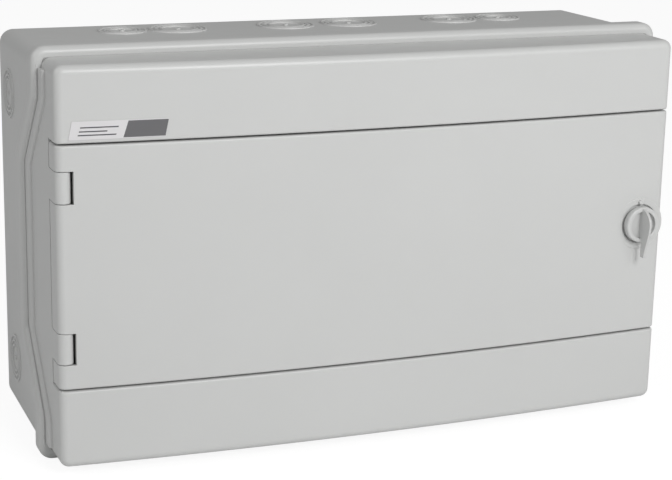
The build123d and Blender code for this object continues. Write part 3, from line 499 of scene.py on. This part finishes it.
def turned(name, profile, axis_point, steps=40):
    """Closed solid turned round an upright axis from (radius, z) points, from axis to axis."""
    work = bmesh.new()
    rings = []
    for radius, z in profile:
        if radius == 0:
            rings.append([work.verts.new((axis_point[0], axis_point[1], z))])
        else:
            ring = []
            for step in range(steps):
                angle = math.tau * step / steps
                ring.append(work.verts.new((axis_point[0] + radius * math.cos(angle),
                                            axis_point[1] + radius * math.sin(angle), z)))
            rings.append(ring)
    for lower, upper in zip(rings, rings[1:]):
        for step in range(steps):
            after = (step + 1) % steps
            if len(lower) == 1:
                work.faces.new((lower[0], upper[after], upper[step]))
            elif len(upper) == 1:
                work.faces.new((lower[step], lower[after], upper[0]))
            else:
                work.faces.new((lower[step], lower[after], upper[after], upper[step]))
    bmesh.ops.recalc_face_normals(work, faces=work.faces)
    mesh = bpy.data.meshes.new(name)
    work.to_mesh(mesh)
    work.free()
    return mesh


def copy_tree():
    """The given object's mesh at every point."""
    tree, given, result = geometry_tree("copies", {"Shape": "Object", "Material": "Material"})
    shape = put(tree, "GeometryNodeObjectInfo", {"Object": given["Shape"]}).outputs["Geometry"]
    copies = put(tree, "GeometryNodeInstanceOnPoints", {"Points": given["Geometry"],
                                                        "Instance": shape}).outputs[0]
    finish_tree(tree, copies, given["Material"], result)
    return tree


copy_points = copy_tree()
link_low, link_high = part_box("fuse_link_1")
half_length = (link_high.z - link_low.z) / 2
link_radius = (link_high.x - link_low.x) / 2
cap, soft, press = 10 * MM, 0.5 * MM, 0.2 * MM   # cap's length, its round end, its pressed edge
tube = link_radius - 0.35 * MM
cap_edge = half_length - cap
link_points = []
for index in range(fuse_count):
    low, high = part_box(f"fuse_link_{index + 1}")
    link_points.append((low + high) / 2)
fuse_links = [f"fuse_link_{index + 1}" for index in range(fuse_count)]


def copied(name, profile, points, material, body, replaced=(), steps=40, turn=None):
    """Turned shape at every point."""
    mesh = turned(name + "_shape", profile, (0, 0), steps)
    if turn:
        mesh.transform(turn)
    shape = bpy.data.objects.new(name + "_shape", mesh)
    bpy.context.scene.collection.objects.link(shape)
    grown(name, copy_points, points, {"Shape": shape, "Material": material}, body, replaced)
    bpy.data.objects.remove(shape)


copied("fuse_tubes", [(0, -cap_edge), (tube, -cap_edge), (tube, cap_edge), (0, cap_edge)],
       link_points, ceramic, "enclosure", fuse_links)
for name, way in (("fuse_caps_upper", 1), ("fuse_caps_lower", -1)):
    copied(name, [(0, way * cap_edge), (tube, way * cap_edge),
                  (link_radius, way * (cap_edge + press)),
                  (link_radius, way * (half_length - soft)),
                  (link_radius - soft, way * half_length), (0, way * half_length)],
           link_points, cap_metal, "enclosure", fuse_links)


# Terminal screws.  Slotted steel cheese-heads, turned, threaded and plated, down in the wells
# of the fuse holders.  There's one at each end of a holder, and its shank clamps the wire.

well_low, well_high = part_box("terminal_screws")
well_head = (3.0, 3.0)
well_radius = well_head[0] * MM
well_step = (well_high.x - well_low.x - 2 * well_radius) / (fuse_count - 1)
well_points = [(well_low.x + well_radius + index * well_step, well_low.y + well_head[1] * MM / 2, z)
               for index in range(fuse_count)
               for z in (well_low.z + well_radius, well_high.z - well_radius)]
screw_heads("terminal_screw_heads", well_points, well_head, 1.0, (2.4, 5.5), 0.0, "terminal_screws")


# Comb busbars and wires.  Copper strip punched into combs under each half of the fuse row, and
# stranded wires in coloured insulation, red and black for the poles and green for earth.

copper = metal("copper_strip", (0.80, 0.42, 0.28), (0.62, 0.34, 0.22), 0.28,
               edge_colour=(0.92, 0.60, 0.45))
finish(copper, "busbar_positive", "busbar_negative")


def insulation(name, colour):
    """Soft shiny wire insulation."""
    # the lighter edge colour, 1.5 times the insulation's colour, is a painted highlight on the
    # wire's edges
    return plastic(name, colour, [min(1, part * 1.5 + 0.04) for part in colour], 0.32, 900.0,
                   0.03, 0.12, 0.1, 0.2, 0.05)


finish(insulation("red_insulation", (0.50, 0.02, 0.015)), "wire_positive")
finish(insulation("black_insulation", (0.02, 0.02, 0.022)), "wire_negative", "wire_surge")
finish(insulation("green_insulation", (0.07, 0.28, 0.05)), "wire_earth")


# Fuse carriers.  Drawers in a darker grey that pull out by their front grip, with three finger
# ribs on each grip and a small window for the blown-fuse lamp.

carrier_grey = plastic("carrier_grey", (0.34, 0.345, 0.34), (0.5, 0.5, 0.49), 0.4, 2200.0, 0.06,
                       edge_radius=0.4, edge=0.45, dust=0.1)
finish(carrier_grey, *[f"fuse_carrier_{index + 1}" for index in range(fuse_count)])
grip_rises = (9.6, 11.0, 12.4)                   # over the carrier's middle, in millimetres
grip_thick = 0.2 * MM
lamp_drop, lamp_back = 10.5 * MM, 5.0 * MM       # under the middle, and behind the grip's face
grip_points, lamp_points = [], []
for index in range(fuse_count):
    low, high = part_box(f"fuse_carrier_{index + 1}")
    middle = (low + high) / 2
    for rise in grip_rises:
        grip_points.append((middle.x, low.y + grip_thick / 2, middle.z + rise * MM))
    lamp_points.append((middle.x, low.y + lamp_back, middle.z - lamp_drop))
grown("carrier_grip_ribs", bars, grip_points,
      {"Size": (9.0 * MM, grip_thick, 0.6 * MM), "Material": carrier_grey},
      "enclosure")


def lens(name, colour, coat):
    """Clear tinted plastic with a glossy coat."""
    material, tree, shader = bare_material(name)
    surface = use_group(tree, grain_group, Colour=(*colour, 1), Grain_scale=500.0,
                        Mottle=0.3, Roughness=0.15)
    tree.links.new(surface["Colour"], shader.inputs["Base Color"])
    tree.links.new(surface["Roughness"], shader.inputs["Roughness"])
    shader.inputs["Coat Weight"].default_value = coat
    return material


lamp_red = lens("lamp_red", (0.32, 0.02, 0.015), 0.6)
grown("carrier_lamps", bars, lamp_points,
      {"Size": (3.9 * MM, 0.6 * MM, 6.4 * MM), "Material": lamp_red}, "enclosure")


# Isolator handle.  A red rotary handle moulded over its spindle, with a raised finger bar and
# a white pointer line filled into the bar's end.

handle_red = plastic("handle_red", (0.55, 0.022, 0.016), (0.75, 0.16, 0.12), 0.3, 1500.0, 0.04,
                     edge_radius=0.5, edge=0.5, dust=0.06)
finish(handle_red, "isolator_handle")
handle_low, handle_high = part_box("isolator_handle")
handle_x = (handle_low.x + handle_high.x) / 2
handle_z = (handle_low.z + handle_high.z) / 2
mark_white = plastic("mark_white", (0.82, 0.82, 0.80), (0.8, 0.8, 0.8), 0.5, 900.0, 0.02,
                     dust=0.0)
pointer_rise, pointer_back = 9.5 * MM, 0.15 * MM
grown("handle_pointer", bars, [(handle_x, handle_low.y + pointer_back, handle_z + pointer_rise)],
      {"Size": (1.4 * MM, 0.4 * MM, 6.0 * MM), "Material": mark_white},
      "isolator_handle")
knurl_count, knurl_radius, knurl_back = 36, 14.9 * MM, 6.6 * MM
knurl_points = []
for step in range(knurl_count):
    angle = math.tau * step / knurl_count
    knurl_points.append((handle_x + knurl_radius * math.sin(angle), handle_low.y + knurl_back,
                         handle_z + knurl_radius * math.cos(angle)))


def radial_bar_tree():
    """Bars at every point, each turned to face away from a centre line along Y."""
    tree, given, result = geometry_tree("radial_bars", {"Size": "Vector", "Centre": "Vector",
                                                        "Material": "Material"})
    bar = put(tree, "GeometryNodeMeshCube", {"Size": given["Size"]}).outputs[0]
    place = put(tree, "GeometryNodeInputPosition").outputs[0]
    away = put(tree, "ShaderNodeVectorMath", {0: place, 1: given["Centre"]},
               operation="SUBTRACT").outputs["Vector"]
    level = put(tree, "ShaderNodeVectorMath", {0: away, 1: (1, 0, 1)},
                operation="MULTIPLY").outputs["Vector"]
    turn = put(tree, "FunctionNodeAlignRotationToVector", {"Vector": level}, axis="Z",
               pivot_axis="Y").outputs[0]
    copies = put(tree, "GeometryNodeInstanceOnPoints",
                 {"Points": given["Geometry"], "Instance": bar, "Rotation": turn}).outputs[0]
    finish_tree(tree, copies, given["Material"], result)
    return tree


radial_bars = radial_bar_tree()
grown("handle_knurls", radial_bars, knurl_points,
      {"Size": (1.2 * MM, 2.2 * MM, 0.2 * MM), "Centre": (handle_x, 0, handle_z),
       "Material": handle_red}, "isolator_handle")


# Surge plug-ins.  Three varistor cartridges in a blue-grey plastic, each with a green window
# that turns when it has tripped.

surge_grey = plastic("surge_grey", (0.30, 0.33, 0.36), (0.46, 0.48, 0.5), 0.38, 2200.0, 0.05,
                     edge_radius=0.4, edge=0.45, dust=0.08)
finish(surge_grey, "surge_plug_1", "surge_plug_2", "surge_plug_3")
window_rise, window_back = 11.5 * MM, 0.55 * MM
window_points = []
for index in range(3):
    low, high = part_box(f"surge_plug_{index + 1}")
    middle = (low + high) / 2
    window_points.append((middle.x, low.y + window_back, middle.z + window_rise))
window_green = lens("window_green", (0.03, 0.35, 0.06), 0.8)
grown("surge_windows", bars, window_points,
      {"Size": (4.6 * MM, 0.4 * MM, 4.6 * MM), "Material": window_green},
      "enclosure")


# Foam seals.  A grey closed-cell cord lies in the base's groove under the cover, and black
# strips are stuck inside the door's edge.  Both have a soft, cellular skin.

def foam(name, colour):
    """Foam with open cells on its skin."""
    material, tree, shader = bare_material(name)
    surface = use_group(tree, grain_group, Colour=(*colour, 1), Grain_scale=1400.0,
                        Mottle=0.4, Roughness=0.9, Mottle_scale=60.0)
    place = put(tree, "ShaderNodeTexCoord").outputs["Object"]
    cells = put(tree, "ShaderNodeTexVoronoi", {"Vector": place, "Scale": 1300.0})
    raised = put(tree, "ShaderNodeBump", {"Strength": 0.5, "Distance": 0.3 * MM,
                                          "Height": cells.outputs["Distance"]})
    tree.links.new(surface["Colour"], shader.inputs["Base Color"])
    tree.links.new(surface["Roughness"], shader.inputs["Roughness"])
    tree.links.new(raised.outputs[0], shader.inputs["Normal"])
    shader.inputs["Sheen Weight"].default_value = 0.2
    return material


foam_grey = foam("foam_grey", (0.30, 0.30, 0.295))
finish(foam_grey, "cover_seal", "latch_seal")
foam_dark = foam("foam_dark", (0.035, 0.035, 0.036))
finish(foam_dark, "door_seal")


# Cover.  Moulded in the same light grey plastic as the base, with a flared lip along its sides,
# a rounded fascia above and below the door, and the mask round the modules' noses.

finish(shell_grey, "cover_frame")


# Cover screws.  Four steel pan-heads, cold-headed with a cross recess and zinc plated.  They
# sit on the mask behind the door and draw the cover down onto the base's posts.

cover_head = (4.5, 3.0)
screw_heads("cover_screw_heads", corner_points("cover_screws", *cover_head), cover_head, 1.2,
            (2.05, 26.0), 1.0, "cover_screws")


# Blanking strip, circuit strip and label.  A snap-in strip closes the window's free places; a
# printed paper strip with a cell per module is glued above the window; the outside label is
# a thin film on the upper fascia, silver-grey with plain rules and a darker slanted end.

finish(module_grey, "blanking_strip")


def printed_film(name, paper, ink, pattern):
    """Printed film or paper: the pattern's mask chooses ink over paper."""
    material, tree, shader = bare_material(name)
    place = put(tree, "ShaderNodeTexCoord").outputs["Object"]
    mask = pattern(tree, put(tree, "ShaderNodeSeparateXYZ", {0: place}).outputs)
    surface = use_group(tree, grain_group, Colour=(*paper, 1), Grain_scale=2500.0, Mottle=0.06,
                        Roughness=0.35)
    inked = mix_colour(tree, mask, surface["Colour"], (*ink, 1))
    tree.links.new(inked, shader.inputs["Base Color"])
    tree.links.new(surface["Roughness"], shader.inputs["Roughness"])
    raised = put(tree, "ShaderNodeBump", {"Strength": 0.04, "Distance": 0.1 * MM,
                                          "Height": surface["Height"]})
    tree.links.new(raised.outputs[0], shader.inputs["Normal"])
    return material


def inside(tree, value, low, high):
    """1 where the value lies between two limits."""
    above = math_node(tree, "GREATER_THAN", value, low)
    return math_node(tree, "MULTIPLY", above, math_node(tree, "LESS_THAN", value, high))


strip_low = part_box("circuit_strip")[0]
cell_pitch, rule_wide = 18 * MM, 0.35 * MM


def strip_pattern(tree, place):
    """A thin line between two modules, and one along the strip."""
    along = math_node(tree, "SUBTRACT", place["X"], strip_low.x)
    in_cell = math_node(tree, "MODULO", along, cell_pitch)
    ruled = math_node(tree, "LESS_THAN", in_cell, rule_wide)
    middle = strip_low.z + 3.4 * MM
    return math_node(tree, "MAXIMUM", ruled, inside(tree, place["Z"], middle, middle + 0.3 * MM))


finish(printed_film("strip_paper", (0.80, 0.80, 0.77), (0.12, 0.12, 0.13), strip_pattern),
       "circuit_strip")

label_low, label_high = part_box("rating_label")
label_length = label_high.x - label_low.x
label_height = label_high.z - label_low.z
slant = 0.32                                     # sideways shift of the dark end for its height
label_rules = ((0.62, 0.08, 0.46), (0.40, 0.08, 0.36), (0.20, 0.08, 0.46))
rule_high = 0.07                                 # shares of the label's height and length


def label_pattern(tree, place):
    """Darker slanted end, and three short plain rules on the light part."""
    rise = math_node(tree, "SUBTRACT", place["Z"], label_low.z)
    lean = math_node(tree, "MULTIPLY", rise, slant)
    across = math_node(tree, "SUBTRACT", place["X"], label_low.x)
    across = math_node(tree, "SUBTRACT", across, lean)
    end = inside(tree, across, label_length * 0.54, label_length * 0.99)
    end = math_node(tree, "MULTIPLY", end,
                    inside(tree, rise, label_height * 0.04, label_height * 0.96))
    mask = math_node(tree, "MULTIPLY", end, 0.92)
    for level, start, stop in label_rules:
        rule = inside(tree, across, label_length * start, label_length * stop)
        line = inside(tree, rise, label_height * level, label_height * (level + rule_high))
        mask = math_node(tree, "MAXIMUM", mask, math_node(tree, "MULTIPLY", rule, line))
    return mask


label_film = printed_film("label_film", (0.70, 0.69, 0.70), (0.085, 0.085, 0.09), label_pattern)
finish(label_film, "rating_label")


# Door.  One bowed leaf in the same grey plastic that wraps onto both sides, turning on two
# steel pins.  Inside it the mould left two long stiffening ribs and two rows of ejector marks.

finish(shell_grey, "door_leaf")
door_low, door_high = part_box("door_leaf")
door_middle = (door_low.z + door_high.z) / 2


def bowed_rib_tree():
    """Ribs that follow the door's bow, one through each point, along X."""
    tree, given, result = geometry_tree(
        "bowed_ribs", {"Half length": "Float", "Bow radius": "Float", "Width": "Float",
                       "Height": "Float", "Material": "Material"})
    span = put(tree, "ShaderNodeCombineXYZ", {"X": given["Half length"]}).outputs[0]
    start = put(tree, "ShaderNodeVectorMath", {0: span, 1: (-1, 0, 0)}, operation="MULTIPLY")
    line = put(tree, "GeometryNodeCurvePrimitiveLine", {"Start": start.outputs[0], "End": span})
    fine = put(tree, "GeometryNodeResampleCurve", {"Curve": line.outputs[0], "Count": 48})
    x = put(tree, "ShaderNodeSeparateXYZ",
            {0: put(tree, "GeometryNodeInputPosition").outputs[0]}).outputs["X"]
    sag = math_node(tree, "DIVIDE", math_node(tree, "MULTIPLY", x, x),
                    math_node(tree, "MULTIPLY", given["Bow radius"], 2.0))
    offset = put(tree, "ShaderNodeCombineXYZ", {"Y": sag}).outputs[0]
    bowed = put(tree, "GeometryNodeSetPosition", {"Geometry": fine.outputs[0], "Offset": offset})
    section = put(tree, "GeometryNodeCurvePrimitiveQuadrilateral",
                  {"Width": given["Width"], "Height": given["Height"]})
    rib = put(tree, "GeometryNodeCurveToMesh",
              {"Curve": bowed.outputs[0], "Profile Curve": section.outputs[0], "Fill Caps": True})
    copies = put(tree, "GeometryNodeInstanceOnPoints",
                 {"Points": given["Geometry"], "Instance": rib.outputs[0]}).outputs[0]
    finish_tree(tree, copies, given["Material"], result)
    return tree


bow_radius = 2760 * MM
door_inside = -153 * MM                          # inner face at the door's middle
rib_wide, rib_rise, rib_sunk = 2.4 * MM, 52 * MM, 1.1 * MM
rib_points = [(0, door_inside + rib_sunk, door_middle + way * rib_rise) for way in (1, -1)]
grown("door_ribs", bowed_rib_tree(), rib_points,
      {"Half length": 165 * MM, "Bow radius": bow_radius, "Width": rib_wide, "Height": rib_wide,
       "Material": shell_grey}, "door")
mark_rise, mark_radius, mark_top = 36 * MM, 3.6 * MM, 0.35 * MM
mark_points = []
for x in (-150, -90, -30, 30, 90, 150):
    for way in (1, -1):
        sag = (x * MM) ** 2 / (2 * bow_radius)
        mark_points.append((x * MM, door_inside + sag, door_middle + way * mark_rise))
copied("door_ejector_marks",
       [(0, -0.4 * MM), (mark_radius, -0.4 * MM), (mark_radius, 0.1 * MM),
        (mark_radius - 0.4 * MM, mark_top), (0, mark_top)],
       mark_points, shell_grey, "door", steps=28,
       turn=Matrix.Rotation(math.radians(-90), 4, "X"))
pin_steel = metal("pin_steel", (0.56, 0.57, 0.58), (0.5, 0.5, 0.5), 0.25, (1.0, 1.0, 0.05))
finish(pin_steel, "hinge_pin_upper", "hinge_pin_lower")


# Latch.  A quarter-turn knob of the box's own plastic: a dished ring with a blade across it
# that runs down into a tail.  Its shaft turns in a dark bush and carries a pressed tongue,
# held by one screw, that turns behind the bent catch on the mask.

finish(carrier_grey, "latch_bush")
finish(zinc, "latch_cam", "latch_screw", "latch_catch")
latch_grey = plastic("latch_grey", (0.60, 0.605, 0.598), (0.72, 0.72, 0.71), 0.36, 1800.0, 0.04,
                     edge_radius=0.5, edge=0.5, dust=0.1)
finish(latch_grey, "latch_knob")


# Floor, light and camera.  A wide pale floor runs out of sight under and behind the box.  The
# light is soft and mostly from high in front, with weak fills from the right and the left.

floor_mesh = bpy.data.meshes.new("floor")
half_floor = 6.0
floor_z = cad_box[0].z - 0.2 * MM
floor_corners = [(x * half_floor, y * half_floor, floor_z)
                 for x, y in ((-1, -1), (1, -1), (1, 1), (-1, 1))]
floor_mesh.from_pydata(floor_corners, [], [(0, 1, 2, 3)])
floor = bpy.data.objects.new("floor", floor_mesh)
bpy.context.scene.collection.objects.link(floor)
floor_paint, floor_tree, floor_shader = bare_material("floor_white")
floor_shader.inputs["Base Color"].default_value = (0.9, 0.9, 0.9, 1)
floor_shader.inputs["Roughness"].default_value = 0.9
seen_directly = put(floor_tree, "ShaderNodeLightPath").outputs["Is Camera Ray"]
evenly_lit = put(floor_tree, "ShaderNodeEmission", {"Color": (1, 1, 1, 1), "Strength": 1.12})
direct_share = math_node(floor_tree, "MULTIPLY", seen_directly, 0.8)
blend = put(floor_tree, "ShaderNodeMixShader", {0: direct_share})
floor_tree.links.new(floor_shader.outputs[0], blend.inputs[1])
floor_tree.links.new(evenly_lit.outputs[0], blend.inputs[2])
floor_tree.links.new(blend.outputs[0], floor_tree.nodes["Material Output"].inputs["Surface"])
floor_mesh.materials.append(floor_paint)

studio = bpy.data.worlds.new("studio")
bpy.context.scene.world = studio
studio.use_nodes = True
sky = studio.node_tree.nodes["Background"].inputs
sky["Color"].default_value = (1, 1, 1, 1)
sky["Strength"].default_value = 0.285
box_middle = (cad_box[0] + cad_box[1]) / 2


def direction(azimuth, elevation):
    """Unit vector from the box towards a viewpoint, for angles in degrees."""
    turn, rise = math.radians(azimuth), math.radians(elevation)
    return Vector((math.sin(turn) * math.cos(rise), -math.cos(turn) * math.cos(rise),
                   math.sin(rise)))


def softbox(name, azimuth, elevation, distance, size, power):
    """Square soft light that looks at the box."""
    away = direction(azimuth, elevation)
    lamp = bpy.data.lights.new(name, "AREA")
    lamp.energy = power
    lamp.size = size
    holder = bpy.data.objects.new(name, lamp)
    bpy.context.scene.collection.objects.link(holder)
    holder.location = box_middle + away * distance
    holder.rotation_euler = away.to_track_quat("Z", "Y").to_euler()


softbox("front_light", 9, 30, 2.0, 0.7, 18.8)
softbox("right_light", 38, 26, 1.8, 0.7, 3.6)
softbox("left_light", -82, 35, 1.6, 0.8, 3.5)

camera_data = bpy.data.cameras.new("camera")
camera_data.sensor_width = 36.0
camera_data.lens = 96.6
camera = bpy.data.objects.new("camera", camera_data)
bpy.context.scene.collection.objects.link(camera)
camera.location = (-0.444568, -1.176065, 0.301116)
roll = Matrix.Rotation(math.radians(1.204), 4, "Z").to_quaternion()
aim = direction(-21.96, 14.863).to_track_quat("Z", "Y") @ roll
camera.rotation_euler = aim.to_euler()
bpy.context.scene.camera = camera
bpy.context.scene.view_settings.view_transform = "Standard"
